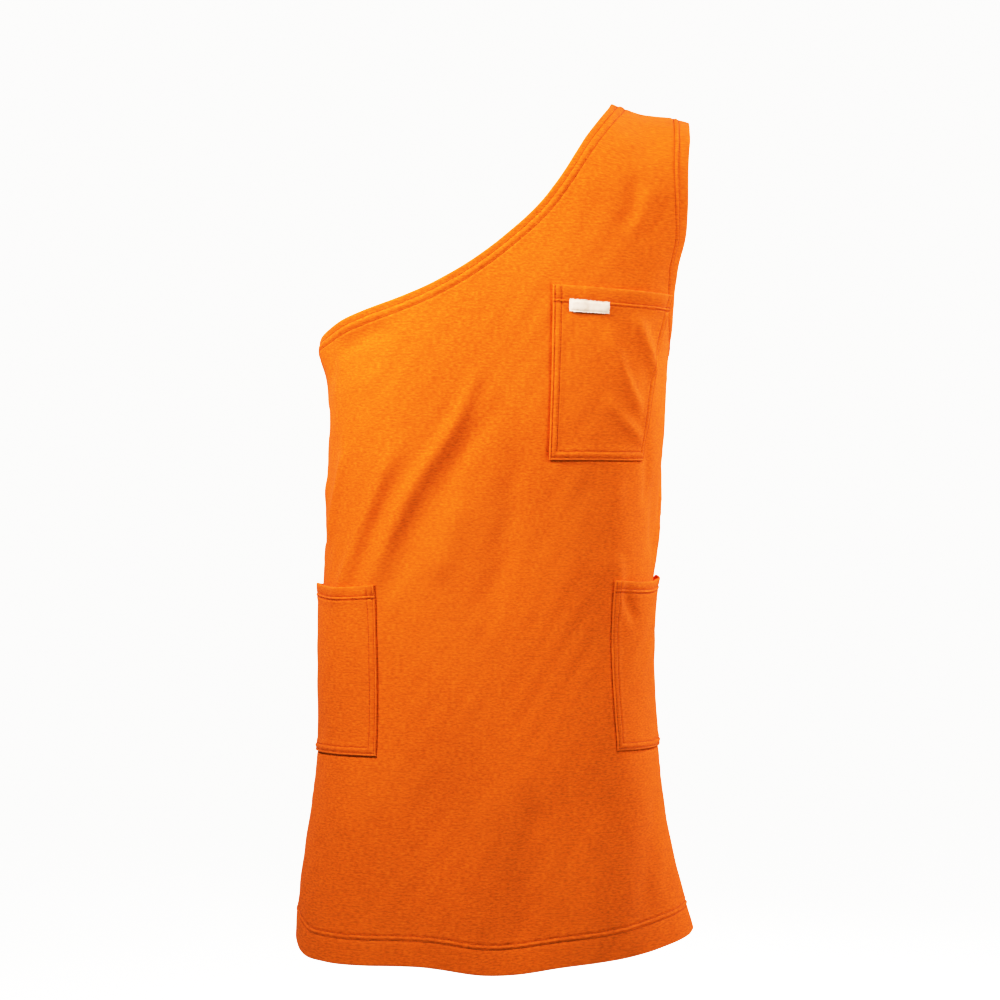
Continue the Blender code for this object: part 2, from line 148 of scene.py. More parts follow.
# Folds and creases of the worn cloth: the places that each runs through, its
# half width and its height in millimetres. A ridge is positive and a trough negative.
foldStep = 0.02
foldEnds = 4  # a fold fades in over the first fourth of its length and out over the last
folds = (
    # neckline standing out at the right side seam
    {"width": 18, "height": 6.2, "places": ((158, 0.268), (180, 0.270), (202, 0.268))},
    # drag folds from the right hip pocket up across the waist
    {"width": 8, "height": 3.9, "places": (
        (149, 0.505), (141.5, 0.468), (135, 0.436), (127, 0.398), (118.5, 0.368), (109, 0.338), (96, 0.276),
    )},
    {"width": 8, "height": 3.6, "places": (
        (161, 0.505), (154.5, 0.470), (147, 0.432), (139.5, 0.398), (132.5, 0.366), (124, 0.334),
    )},
    {"width": 7, "height": -1.8, "places": ((151, 0.490), (143, 0.432), (135.5, 0.398), (128, 0.362))},
    {"width": 11, "height": -2.6, "places": ((137, 0.490), (120.5, 0.412), (102, 0.350), (90, 0.304))},
    {"width": 15, "height": -2.8, "places": ((97, 0.510), (88.5, 0.436), (84, 0.380), (81, 0.330))},
    {"width": 7, "height": 3.4, "places": ((167, 0.440), (161, 0.404), (155, 0.372), (150, 0.346))},
    {"width": 12, "height": 2.2, "places": ((118, 0.470), (110, 0.430), (103, 0.392))},
    # slack below the neckline beside that seam
    {"width": 8, "height": -2.6, "places": ((156, 0.278), (150.5, 0.268), (144.5, 0.262), (129, 0.250))},
    {"width": 12, "height": 1.2, "places": ((164, 0.312), (148, 0.300), (132, 0.292))},
    # creases down the strap and in front of the armhole
    {"width": 6, "height": -2.2, "places": ((37.5, 0.116), (40, 0.154), (45, 0.176))},
    {"width": 6, "height": -1.9, "places": ((29.5, 0.138), (33, 0.164), (38.5, 0.182))},
    {"width": 7, "height": 1.4, "places": ((33.5, 0.130), (36.5, 0.158), (41, 0.176))},
    {"width": 9, "height": -0.8, "places": ((30, 0.050), (32, 0.080), (36, 0.110))},
    # slack in the right half of the chest pocket and under it
    {"width": 6.5, "height": 3.1, "places": (
        (50, 0.246), (47.5, 0.266), (43, 0.292), (38, 0.312), (32, 0.328),
    )},
    {"width": 7, "height": 2.9, "places": ((41, 0.236), (37, 0.252), (31.5, 0.272), (26, 0.296))},
    {"width": 6, "height": 2.2, "places": ((51, 0.308), (43.5, 0.328), (38, 0.338), (31, 0.351))},
    {"width": 9, "height": 1.4, "places": ((42, 0.345), (42.5, 0.372), (44, 0.410))},
    {"width": 8, "height": -1.8, "places": ((30, 0.330), (27, 0.372), (24, 0.410))},
    # the right side, pinched below the neckline and above its pocket
    {"width": 12, "height": -2.4, "places": ((166, 0.330), (180, 0.326), (192, 0.330))},
    {"width": 14, "height": 2.2, "places": ((168, 0.392), (180, 0.388), (190, 0.392))},
    {"width": 8, "height": -2.0, "places": ((170, 0.432), (180, 0.428), (188, 0.432))},
    # slack above the left hip pocket
    {"width": 13, "height": -2.0, "places": ((58, 0.372), (52, 0.410), (47, 0.455))},
    {"width": 7, "height": 2.2, "places": ((40, 0.440), (39.5, 0.470), (38, 0.500))},
    {"width": 7, "height": -2.2, "places": ((38, 0.468), (35, 0.484), (29, 0.502))},
    {"width": 12, "height": -2.2, "places": ((22, 0.372), (16, 0.410), (12, 0.452))},
    # the skirt, falling free
    {"width": 17, "height": -3.2, "places": ((74, 0.630), (79, 0.710), (83, 0.800))},
    {"width": 14, "height": 1.5, "places": ((92, 0.630), (96, 0.690), (97, 0.780))},
    {"width": 16, "height": -2.6, "places": ((14, 0.640), (29.5, 0.694), (38, 0.780))},
    {"width": 14, "height": 1.6, "places": ((52, 0.650), (55, 0.710), (58, 0.800))},
    {"width": 15, "height": -1.4, "places": ((117, 0.620), (120, 0.700), (122, 0.800))},
    {"width": 16, "height": 1.3, "places": ((146, 0.640), (148, 0.720), (150, 0.800))},
    # the sides, which the photograph doesn't show, creased much as the front is
    {"width": 8, "height": 4.0, "places": ((12, 0.480), (4, 0.430), (-8, 0.380), (-22, 0.330), (-34, 0.290))},
    {"width": 9, "height": -2.8, "places": ((4, 0.485), (-6, 0.436), (-18, 0.388), (-32, 0.344))},
    {"width": 8, "height": 2.9, "places": ((-30, 0.480), (-36, 0.430), (-46, 0.384), (-56, 0.352))},
    {"width": 13, "height": -2.4, "places": ((-8, 0.640), (-4, 0.700), (-2, 0.790))},
    {"width": 13, "height": -2.2, "places": ((184, 0.640), (182, 0.700), (181, 0.790))},
    # drag folds from the right hip pocket up across the back, and slack in it
    {"width": 9, "height": 4.7, "places": ((214, 0.468), (226, 0.424), (238, 0.378), (250, 0.340))},
    {"width": 9, "height": -3.8, "places": ((221, 0.462), (234, 0.416), (248, 0.372), (262, 0.332))},
    {"width": 8, "height": 3.5, "places": ((199, 0.462), (210, 0.412), (221, 0.372))},
    {"width": 8, "height": -1.8, "places": ((206, 0.280), (216, 0.268), (230, 0.252))},
    {"width": 12, "height": -1.6, "places": ((262, 0.470), (268, 0.424), (275, 0.380))},
    {"width": 7, "height": -1.4, "places": ((322, 0.118), (320, 0.156), (314, 0.186))},
    {"width": 8, "height": 1.3, "places": ((318, 0.250), (321, 0.300), (319, 0.356))},
    {"width": 9, "height": -1.5, "places": ((300, 0.330), (306, 0.376), (312, 0.430))},
    # the skirt behind
    {"width": 17, "height": -4.3, "places": ((252, 0.600), (247, 0.690), (242, 0.790))},
    {"width": 15, "height": 2.5, "places": ((268, 0.630), (270, 0.700), (272, 0.800))},
    {"width": 16, "height": -3.5, "places": ((309, 0.620), (311, 0.700), (314, 0.790))},
    {"width": 15, "height": 1.5, "places": ((222, 0.640), (220, 0.720), (218, 0.800))},
)


def nearestOn(points, line, wraps=False):
    # Each point's distance to a line on the flat cloth, its nearest place there, how far along
    # that is, and the unit way to the line's left. With wraps, a line past 360 degrees counts too.
    best = np.full(len(points), np.inf)
    near, left, along = np.zeros_like(points), np.zeros_like(points), np.zeros(len(points))
    travelled = 0.0
    for start, end in zip(line, line[1:]):
        way = end - start
        length = np.linalg.norm(way)
        way = way / length
        offset = points - start
        if wraps:
            offset[:, 0] = (offset[:, 0] + wholeTurn / 2) % wholeTurn - wholeTurn / 2
        share = np.clip(offset @ way, 0, length)
        apart = offset - share[:, None] * way
        distance = np.hypot(apart[:, 0], apart[:, 1])
        closer = distance < best
        best[closer] = distance[closer]
        near[closer] = start + share[closer, None] * way
        left[closer] = (-way[1], way[0])
        along[closer] = travelled + share[closer]
        travelled += length
    return best, near, along, left


def foldHeight(points):
    height = np.zeros(len(points))
    for fold in folds:
        line = smoothLine(fold["places"], foldStep)
        distance, _, along, _ = nearestOn(points, line, wraps=True)
        length = np.linalg.norm(np.diff(line, axis=0), axis=1).sum()
        fade = smoothstep(foldEnds * along / length) * smoothstep(foldEnds * (1 - along / length))
        height += 0.001 * fold["height"] * fade * dip(distance, 0.001 * fold["width"])
    return height


# Slack that no single crease accounts for: long soft waves, then short faint ones. Each wave
# fits a whole number of times round the robe, so the two sides of a seam agree.
slack = {
    "long": {"count": 9, "round": (3, 9), "down": (0.14, 0.34), "height": 0.00034, "seed": 5},
    "short": {"count": 12, "round": (16, 40), "down": (0.025, 0.070), "height": 0.00006, "seed": 8},
}
tautDrop = 0.035  # the strap lies taut at the shoulder seam, where both panels meet


def slackHeight(points):
    angle, drop = points[:, 0] / form["clothRadius"], points[:, 1]
    height = np.zeros(len(points))
    for kind in slack.values():
        chance = np.random.default_rng(kind["seed"])
        for _ in range(kind["count"]):
            turns = chance.integers(*kind["round"]) * chance.choice((-1, 1))
            down = 2 * pi / chance.uniform(*kind["down"])
            height += kind["height"] * np.sin(turns * angle + down * drop + chance.uniform(0, 2 * pi))
    return height * smoothstep(drop / tautDrop)


def laid(points, lift):
    # Flat points on the creased form, moved out of it by lift
    angle, drop = points[:, 0] / form["clothRadius"], points[:, 1]
    out = foldHeight(points) + slackHeight(points) + lift
    return bodyPlace(angle, drop) + bodyNormal(angle, drop) * out[:, None]


# Edges of the cut: neckline, left armhole and foot, with the cloth on each line's left. The
# rows of stitches and the hem's width are measured from the finished edge.
edgeStep = 0.0026
feel = 0.001  # how far in from a fold the way into the cloth is measured
sideSeam = (0.2, 0.8)  # the drops between which both side seams lie
panels = {
    "cloth": 0.0008,
    "roll": 0.0011,  # radius of the cloth as it turns round a finished edge
    "grid": 0.0032,
    "hemmed": 0.00035,  # how much a hem's turned cloth lifts the panel
    "hemEase": 0.003,
    "groove": 0.00075,  # how far a row of stitches draws the hem in
    "grooveWidth": 0.0010,
    "puff": 0.00060,  # how far the hem swells between its two rows
    "puffWidth": 0.32,  # as a share of the rows' distance
    "pull": (0.35, 0.0091, 0.0233),  # how unevenly the rows draw in, and along what lengths
    "hemPucker": 0.0117,
    "seamDip": 0.0010,
    "seamWidth": 0.0014,
    "seamPucker": 0.0131,
    "pucker": 0.00016,
    "puckerAt": 0.004,  # beyond the stitches
    "hemPuckerWidth": 0.005,
    "seamPuckerWidth": 0.004,
    "wear": 0.0016,  # how far from a fold or an edge the cloth is worn
    "stitchLift": 0.00012,
    "rollRows": 6,
    "seamRows": (0.0012, 0.0026, 0.0045),  # mesh points beside a seam
    "foldRows": (0.0, 0.0012),  # mesh points at a finished edge's fold
    "stitchRows": (-0.0020, -0.0009, 0.0, 0.0009),  # about a row of stitches
    "rawRows": (0.0015, 0.0035),  # past the turned cloth's raw edge
    "hemRows": (0.0032, 0.0030),  # between: where these start, and their distance
    "closest": 0.0006,
}
edges = {
    "neck": {
        "hem": 0.0125,
        "rows": (0.0052, 0.0112),
        "places": (
            (43.0, 0.000), (44.5, 0.036), (54.5, 0.096), (67.5, 0.141), (88.5, 0.179), (119.0, 0.218),
            (152.0, 0.2445), (174.5, 0.260), (180.0, 0.264), (190.0, 0.257), (212.0, 0.238),
            (243.0, 0.209), (271.0, 0.174), (292.5, 0.136), (305.5, 0.092), (315.5, 0.036), (317.0, 0.000),
        ),
    },
    "armhole": {
        "hem": 0.0122,
        "rows": (0.0076, 0.0110),
        "places": (
            (-21.5, 0.000), (-22.0, 0.060), (-22.5, 0.104), (-22.0, 0.148), (-21.0, 0.196), (-17.5, 0.229),
            (-9.0, 0.252), (0.0, 0.262), (9.0, 0.252), (17.5, 0.231), (20.8, 0.204), (20.5, 0.176),
            (21.8, 0.148), (22.5, 0.112), (22.0, 0.066), (21.5, 0.000),
        ),
    },
    "bottom": {
        "hem": 0.0270,
        "rows": (0.0215, 0.0256),
        "places": (
            (270.0, 0.785), (230.0, 0.784), (200.0, 0.779), (180.0, 0.774), (173.0, 0.778), (161.0, 0.789),
            (150.0, 0.791), (116.5, 0.790), (95.0, 0.796), (85.0, 0.7955), (68.0, 0.790), (45.0, 0.784),
            (24.5, 0.776), (0.0, 0.772), (-20.0, 0.776), (-50.0, 0.783), (-90.0, 0.785),
        ),
    },
}


def beside(line, width):
    # The line moved into the cloth; its points on a side seam or the shoulder seam stay there
    way = np.gradient(line, axis=0)
    way /= np.linalg.norm(way, axis=1, keepdims=True)
    moved = line + width * np.stack([-way[:, 1], way[:, 0]], axis=1)
    for seam in (0, rightSeam):
        on = abs(line[:, 0] - seam) < 1e-9
        moved[on, 0] = seam
    moved[line[:, 1] < 1e-9, 1] = 0
    return moved


def panelPart(line, panel):
    # The stretch of a line on one panel, from 0 to 180 degrees in front and 180 to 360 behind
    small = 1e-9
    if panel == "front":
        return line[(line[:, 0] > -small) & (line[:, 0] < rightSeam + small)]
    low, high = line[line[:, 0] < small] + (wholeTurn, 0), line[line[:, 0] > rightSeam - small]
    if len(low) == 0 or len(high) == 0:
        return low if len(high) == 0 else high
    return np.vstack([low[:-1], high] if low[-1, 0] < low[0, 0] - 1 else [low, high[1:]])


def hemRelief(depth, along, edge):
    # A turned hem seen from outside: thicker cloth, drawn in along its stitches
    hem, (first, second) = edge["hem"], edge["rows"]
    lift = panels["hemmed"] * (1 - smoothstep((depth - hem) / panels["hemEase"]))
    share, short, long = panels["pull"]
    pull = 1 + share * np.sin(2 * pi * along / short) * np.sin(2 * pi * along / long + 1)
    for row in (first, second):
        lift -= panels["groove"] * pull * dip(depth - row, panels["grooveWidth"])
    spread = panels["puffWidth"] * (second - first)
    lift += panels["puff"] * pull * dip(depth - (first + second) / 2, spread)
    ripple = np.sin(2 * pi * along / panels["hemPucker"])
    lift += panels["pucker"] * ripple * dip(depth - second - panels["puckerAt"], panels["hemPuckerWidth"])
    return lift


def seamRelief(points):
    # Both panels turn in along the side seams and the shoulder seam
    lift = np.zeros(len(points))
    for apart, along in (
        (abs(points[:, 0]), points[:, 1]),
        (abs(points[:, 0] - rightSeam), points[:, 1]),
        (abs(points[:, 0] - wholeTurn), points[:, 1]),
        (points[:, 1], points[:, 0]),
    ):
        lift -= panels["seamDip"] * dip(apart, panels["seamWidth"])
        ripple = np.sin(2 * pi * along / panels["seamPucker"])
        lift += panels["pucker"] * ripple * dip(apart - panels["puckerAt"], panels["seamPuckerWidth"])
    return lift


def panelEdges(panel):
    # The finished edges on a panel, drawn in by the radius that their cloth turns round
    lines = {}
    for name, edge in edges.items():
        line = smoothLine(edge["places"], edgeStep)
        lines[name] = panelPart(beside(line, panels["roll"]), panel)
    return lines


def panelPlace(points, panel):
    # Points of a panel's outer face. Those past a finished edge go round its roll.
    radius = panels["roll"]
    lift = seamRelief(points) + pocketSink(points)
    depths = {}
    for name, line in panelEdges(panel).items():
        distance, near, along, left = nearestOn(points, line)
        side = np.einsum("ij,ij->i", points - near, left)
        depth = np.where(side < 0, -distance, distance)
        depths[name] = (depth, near, left)
        lift += hemRelief(np.maximum(depth, 0) + radius, along, edges[name])
    flatPlaces = points.copy()
    for depth, near, left in depths.values():
        past = depth < 0
        flatPlaces[past] = near[past]
    placed = laid(flatPlaces, lift)
    for depth, near, left in depths.values():
        past = np.flatnonzero(depth < 0)
        if len(past) == 0:
            continue
        behind = laid(near[past] + feel * left[past], lift[past])
        inward = behind - placed[past]
        inward /= np.linalg.norm(inward, axis=1, keepdims=True)
        normal = bodyNormal(near[past, 0] / form["clothRadius"], near[past, 1])
        turn = -depth[past, None] / radius
        placed[past] += radius * (normal * (np.cos(turn) - 1) - inward * np.sin(turn))
    return placed, {name: depth + radius for name, (depth, near, left) in depths.items()}


def inside(points, outline):
    # Even-odd test of flat points against a closed outline
    found = np.zeros(len(points), bool)
    for (ax, ay), (bx, by) in zip(outline, np.roll(outline, -1, axis=0)):
        if ay != by:
            spans = (ay > points[:, 1]) != (by > points[:, 1])
            found ^= spans & (points[:, 0] < ax + (points[:, 1] - ay) * (bx - ax) / (by - ay))
    return found


def hemRows(edge):
    # How deep in from a finished edge the rows of mesh points run: close together at the fold,
    # about each row of stitches and where the turned cloth ends, and wider apart between
    first, second = edge["rows"]
    start, step = panels["hemRows"]
    depths = {*panels["foldRows"], (first + second) / 2, *np.arange(start, first - step, step)}
    depths |= {row + d for row in (first, second) for d in panels["stitchRows"]}
    depths |= {edge["hem"] + d for d in panels["rawRows"]}
    kept = []
    for depth in sorted(d for d in depths if d >= 0):
        if not kept or depth - kept[-1] > panels["closest"]:
            kept.append(depth)
    return kept


def panelPoints(panel):
    # Flat points of a panel with its roll, and its outline: rows beside each finished edge
    # and seam, and a staggered grid over the rest
    rollLength = pi * panels["roll"]
    outer, rows = {}, []
    for name, edge in edges.items():
        inset = beside(smoothLine(edge["places"], edgeStep), panels["roll"])
        outer[name] = panelPart(beside(inset, -rollLength), panel)
        turns = [-rollLength * share for share in np.linspace(0, 1, panels["rollRows"] + 1)[1:-1]]
        rows += [panelPart(beside(inset, depth), panel) for depth in turns + hemRows(edge)]
    order = ("armhole", "neck", "bottom") if panel == "front" else ("neck", "armhole", "bottom")
    outline = []
    for name, following in zip(order, order[1:] + order[:1]):
        seam = straightLine(outer[name][-1], outer[following][0], edgeStep)
        outline += [outer[name], seam[1:-1]]
    outline = np.vstack(outline)
    lowest, highest = outline.min(axis=0), outline.max(axis=0)
    grid = panels["grid"]
    spots = []
    for number, drop in enumerate(np.arange(lowest[1] + grid, highest[1], grid * 3**0.5 / 2)):
        across = np.arange(lowest[0] + (grid / 2 if number % 2 else grid), highest[0], grid)
        spots.append(np.stack([across, np.full(len(across), drop)], axis=1))
    spots = np.vstack(spots)
    seams = (0, rightSeam) if panel == "front" else (rightSeam, wholeTurn)
    clearOfSeam = panels["seamRows"][-1] + 0.6 * grid
    clear = (abs(spots[:, 0] - seams[0]) > clearOfSeam) & (abs(spots[:, 0] - seams[1]) > clearOfSeam)
    spots = spots[clear & (spots[:, 1] > clearOfSeam)]
    toSeams = []
    for distance in panels["seamRows"]:
        for seam, way in zip(seams, (1, -1)):
            drops = np.arange(*sideSeam, edgeStep)
            toSeams.append(np.stack([np.full(len(drops), seam + way * distance), drops], axis=1))
        atNeck, atArmhole = (0, -1) if panel == "front" else (-1, 0)
        ends = sorted((outer["neck"][atNeck, 0], outer["armhole"][atArmhole, 0]))
        across = np.arange(*ends, edgeStep)
        toSeams.append(np.stack([across, np.full(len(across), distance)], axis=1))
    inner = np.vstack([spots, *toSeams])
    toPockets = []
    for pocket in pockets.values():
        line = sewnEdge(pocket)
        inner = inner[nearestOn(inner, line, wraps=True)[0] > patch["sinkRows"][-1] + 0.4 * grid]
        toPockets += [panelPart(beside(line, width), panel) for width in patch["sinkRows"]]
    inner = np.vstack([inner, *toPockets])
    inner = inner[inside(inner, outline)]
    for name, line in panelEdges(panel).items():
        inner = inner[nearestOn(inner, line)[0] > hemRows(edges[name])[-1] + 0.5 * grid]
    return np.vstack([outline, *rows, inner]), outline


def facesOver(points, outline):
    # Triangles over flat points, inside their outline
    ring = [(i, (i + 1) % len(outline)) for i in range(len(outline))]
    found = delaunay_2d_cdt([Vector(p) for p in points], ring, [], 0, 1e-6)
    points, triangles = np.array([tuple(p) for p in found[0]]), np.array(found[2])
    return points, triangles[inside(points[triangles].mean(axis=1), outline)]


def vertexNormals(places, triangles):
    a, b, c = (places[triangles[:, i]] for i in range(3))
    facing = np.cross(b - a, c - a)
    normals = np.zeros_like(places)
    for corner in range(3):
        for axis in range(3):
            normals[:, axis] += np.bincount(triangles[:, corner], facing[:, axis], len(places))
    return normals / np.maximum(np.linalg.norm(normals, axis=1, keepdims=True), 1e-12)


def openEdges(triangles):
    pairs = np.vstack([triangles[:, [0, 1]], triangles[:, [1, 2]], triangles[:, [2, 0]]])
    size = pairs.max() + 1
    codes, back = pairs[:, 0] * size + pairs[:, 1], pairs[:, 1] * size + pairs[:, 0]
    return pairs[~np.isin(codes, back)]


def addObject(name, data):
    made = bpy.data.objects.new(name, data)
    bpy.context.scene.collection.objects.link(made)
    return made


def meshGrid(downs, asides):
    # The places of a grid's points down and across, row after row
    return (a.ravel() for a in np.meshgrid(downs, asides, indexing="ij"))


def clothPiece(name, places, triangles, flatPoints, thickness, material, wear=None):
    # A closed thin shell: the face that shows, the other side, and the cut edge between
    used, index = np.unique(triangles, return_inverse=True)
    triangles = index.reshape(-1, 3)
    places, flatPoints = places[used], flatPoints[used]
    count = len(places)
    under = places - thickness * vertexNormals(places, triangles)
    rim = openEdges(triangles)
    sides = np.vstack([
        np.stack([rim[:, 1], rim[:, 0], rim[:, 0] + count], axis=1),
        np.stack([rim[:, 1], rim[:, 0] + count, rim[:, 1] + count], axis=1),
    ])
    faces = np.vstack([triangles, triangles[:, ::-1] + count, sides])
    mesh = bpy.data.meshes.new(name)
    mesh.from_pydata(np.vstack([places, under]), [], faces.tolist())
    unwrapped = mesh.uv_layers.new(name="flatCloth")
    corners = np.vstack([flatPoints, flatPoints])[faces.ravel()]
    unwrapped.data.foreach_set("uv", corners.astype(np.float32).ravel())
    worn = mesh.attributes.new("wear", "FLOAT", "POINT")
    values = np.zeros(2 * count) if wear is None else np.tile(wear[used], 2)
    worn.data.foreach_set("value", values.astype(np.float32))
    mesh.shade_smooth()
    mesh.set_sharp_from_angle(angle=radians(60))
    mesh.materials.append(material)
    return addObject(name, mesh)


# Materials
def linear(colour):
    # sRGB hex to the linear values that a shader takes
    parts = [int(colour[i:i + 2], 16) / 255 for i in (1, 3, 5)]
    return tuple(p / 12.92 if p <= 0.04045 else ((p + 0.055) / 1.055) ** 2.4 for p in parts) + (1,)


def addNode(tree, kind, inputs=None, **settings):
    node = tree.nodes.new(kind)
    for name, value in settings.items():
        setattr(node, name, value)
    for socket, value in (inputs or {}).items():
        if isinstance(value, bpy.types.NodeSocket):
            tree.links.new(value, node.inputs[socket])
        else:
            node.inputs[socket].default_value = value
    return node


def newMaterial(name, values):
    # A material whose shader takes plain values, and colours in hex
    material = bpy.data.materials.new(name)
    material.use_nodes = True
    tree = material.node_tree
    shader = tree.nodes["Principled BSDF"]
    for socket, value in values.items():
        shader.inputs[socket].default_value = linear(value) if isinstance(value, str) else value
    return material, tree, shader


jersey = {
    "colour": "#E66712",
    "dark": "#B04A0A",  # melange fleck
    "light": "#F57E1C",
    "faded": "#EC761A",  # worn where the cloth is folded
    "fleckLength": 0.0040,  # along the rows of knitting, drawn coarser than the 1 mm yarn
    "fleckHeight": 0.0013,
    "streakLength": 0.030,
    "streakHeight": 0.0028,
    "fade": 0.11,
    "pile": 0.0009,
    "shader": {
        "Roughness": 0.93,
        "Specular IOR Level": 0.06,
        "Sheen Weight": 0.04,
        "Sheen Roughness": 0.5,
        "Sheen Tint": "#FFB070",
    },
    "tints": (  # pattern, where it starts and is full, how much of the tint it takes, and the tint
        ("fleck", 0.48, 0.67, 0.62, "dark"),
        ("fleck", 0.49, 0.32, 0.60, "light"),
        ("streak", 0.50, 0.72, 0.26, "dark"),
        ("fade", 0.45, 0.75, 0.20, "faded"),
        ("wear", 0.0, 1.0, 0.35, "faded"),
    ),
    "rows": {"Strength": 0.22, "Distance": 0.0004},  # relief of the rows of knitting
    "nap": {"Strength": 0.30, "Distance": 0.0003},
}


def jerseyCloth(name, shade=0.0):
    # Cotton jersey, knitted and dyed: matt, softly napped, flecked along its rows of knitting
    material, tree, shader = newMaterial(name, jersey["shader"])
    flatCloth = addNode(tree, "ShaderNodeUVMap", uv_map="flatCloth").outputs[0]
    solid = addNode(tree, "ShaderNodeTexCoord").outputs["Object"]
    noise = {"wear": addNode(tree, "ShaderNodeAttribute", attribute_name="wear").outputs["Fac"]}
    for kind, vector, wide, tall, detail in (
        ("fleck", flatCloth, jersey["fleckLength"], jersey["fleckHeight"], 3.0),
        ("streak", flatCloth, jersey["streakLength"], jersey["streakHeight"], 2.0),
        ("fade", solid, jersey["fade"], jersey["fade"], 2.0),
        ("pile", flatCloth, jersey["pile"], jersey["pile"], 2.0),
    ):
        inputs = {"Vector": vector, "Scale": (1 / wide, 1 / tall, 1 / wide)}
        scaled = addNode(tree, "ShaderNodeMapping", inputs)
        inputs = {"Vector": scaled.outputs[0], "Scale": 1.0, "Detail": detail, "Roughness": 0.6}
        noise[kind] = addNode(tree, "ShaderNodeTexNoise", inputs).outputs[0]
    light, dark = (np.array(linear(jersey[tint])) for tint in ("colour", "dark"))
    colour = tuple(light + shade * (dark - light))
    for kind, low, high, most, tint in jersey["tints"]:
        inputs = {"Value": noise[kind], "From Min": low, "From Max": high, "To Max": most}
        share = addNode(tree, "ShaderNodeMapRange", inputs).outputs[0]
        inputs = {"Factor": share, 6: colour, 7: linear(jersey[tint])}
        colour = addNode(tree, "ShaderNodeMix", inputs, data_type="RGBA").outputs[2]
    tree.links.new(colour, shader.inputs["Base Color"])
    rows = addNode(tree, "ShaderNodeBump", {"Height": noise["fleck"], **jersey["rows"]})
    inputs = {"Height": noise["pile"], "Normal": rows.outputs[0], **jersey["nap"]}
    nap = addNode(tree, "ShaderNodeBump", inputs)
    tree.links.new(nap.outputs[0], shader.inputs["Normal"])
    return material


tape = {
    "colour": "#DCCABB",
    "shadow": "#BDA189",
    "ribs": 0.0011,  # weft ribs, drawn about twice as coarse as the real 0.5 mm
    "relief": {"Strength": 0.5, "Distance": 0.0003},
    "wave": {"Scale": 0.314, "Distortion": 0.6},  # at this scale, one wave to each unit
    "grime": {"Scale": 210.0, "Detail": 4.0},  # spots of handling, nearly 5 mm wide
    "grimy": {"From Min": 0.45, "From Max": 0.8, "To Max": 0.5},
    "shader": {"Roughness": 0.75},
}


def wovenTape():
    # Woven cotton tape, bleached: off-white, finely ribbed across, a little grubby
    material, tree, shader = newMaterial("wovenTape", tape["shader"])
    flatCloth = addNode(tree, "ShaderNodeUVMap", uv_map="flatCloth").outputs[0]
    scaled = addNode(tree, "ShaderNodeMapping", {"Vector": flatCloth, "Scale": (1 / tape["ribs"],) * 3})
    inputs = {"Vector": scaled.outputs[0], **tape["wave"]}
    ribs = addNode(tree, "ShaderNodeTexWave", inputs, bands_direction="X")
    grime = addNode(tree, "ShaderNodeTexNoise", {"Vector": flatCloth, **tape["grime"]})
    share = addNode(tree, "ShaderNodeMapRange", {"Value": grime.outputs[0], **tape["grimy"]})
    inputs = {"Factor": share.outputs[0], 6: linear(tape["colour"]), 7: linear(tape["shadow"])}
    colour = addNode(tree, "ShaderNodeMix", inputs, data_type="RGBA")
    tree.links.new(colour.outputs[2], shader.inputs["Base Color"])
    bump = addNode(tree, "ShaderNodeBump", {"Height": ribs.outputs["Fac"], **tape["relief"]})
    tree.links.new(bump.outputs[0], shader.inputs["Normal"])
    return material


thread = {
    # deeper than the thread's own dye: painted shade of the stitched grooves
    "colour": "#9E3C06",
    "twist": "#C2520C",
    "strand": 0.0011,  # a turn of the yarn
    "shader": {"Roughness": 0.75, "Specular IOR Level": 0.12},
}


def sewingThread():
    # Spun polyester thread, dyed to match and nearly matt. Its colour is two shades deeper than the jersey's:
    # partly the thread's own tone, partly painted shade standing for the shade in the grooves that the
    # stitches draw.
    material, tree, shader = newMaterial("sewingThread", thread["shader"])
    solid = addNode(tree, "ShaderNodeTexCoord").outputs["Object"]
    inputs = {"Vector": solid, "Scale": 1 / thread["strand"], "Detail": 2.0}
    twist = addNode(tree, "ShaderNodeTexNoise", inputs)
    inputs = {"Factor": twist.outputs[0], 6: linear(thread["colour"]), 7: linear(thread["twist"])}
    colour = addNode(tree, "ShaderNodeMix", inputs, data_type="RGBA")
    tree.links.new(colour.outputs[2], shader.inputs["Base Color"])
    return material


finishes = {
    "jersey": jerseyCloth("cottonJersey"),
    "hem": jerseyCloth("cottonJerseyHems", 0.08),
    "pocket": jerseyCloth("cottonJerseyPockets", 0.04),
    "tape": wovenTape(),
    "thread": sewingThread(),
}
stitchRows = []  # each row's places along the cloth and the way out of it there


def addStitches(places, ways):
    stitchRows.append((places, ways))


def ready(piece, slot, *nodes):
    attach(piece, "root")
    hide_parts(*nodes)


def makePanel(panel):
    points, outline = panelPoints(panel)
    points, triangles = facesOver(points, outline)
    places, depths = panelPlace(points, panel)
    wear = sum(dip(depth, panels["wear"]) for depth in depths.values())
    made = (places, triangles, points, panels["cloth"], finishes["jersey"], wear)
    piece = clothPiece(panel + "Panel", *made)
    for name, edge in edges.items():
        for row in edge["rows"]:
            line = panelPart(beside(smoothLine(edge["places"], edgeStep), row), panel)
            onRow = panelPlace(line, panel)[0]
            ways = bodyNormal(line[:, 0] / form["clothRadius"], line[:, 1])
            addStitches(onRow + panels["stitchLift"] * ways, ways)
    print(panel, "panel:", len(points), "points,", len(triangles), "triangles a side")
    return piece


# Turned hems inside the panels, each from the finished edge to its raw edge
hems = {
    "cloth": 0.0007,
    "rows": 6,
    "atEdge": -0.00215,  # the hem's inner face, measured from the panel's outer one
    "atRaw": -0.00180,
}


def stripFaces(rows, count):
    # Triangles between neighbouring rows of points, facing into the hollow
    first = (np.arange(rows - 1)[:, None] * count + np.arange(count - 1)).ravel()
    after = first + count
    upper = np.stack([first, after, first + 1], axis=1)
    lower = np.stack([first + 1, after, after + 1], axis=1)
    return np.vstack([upper, lower])


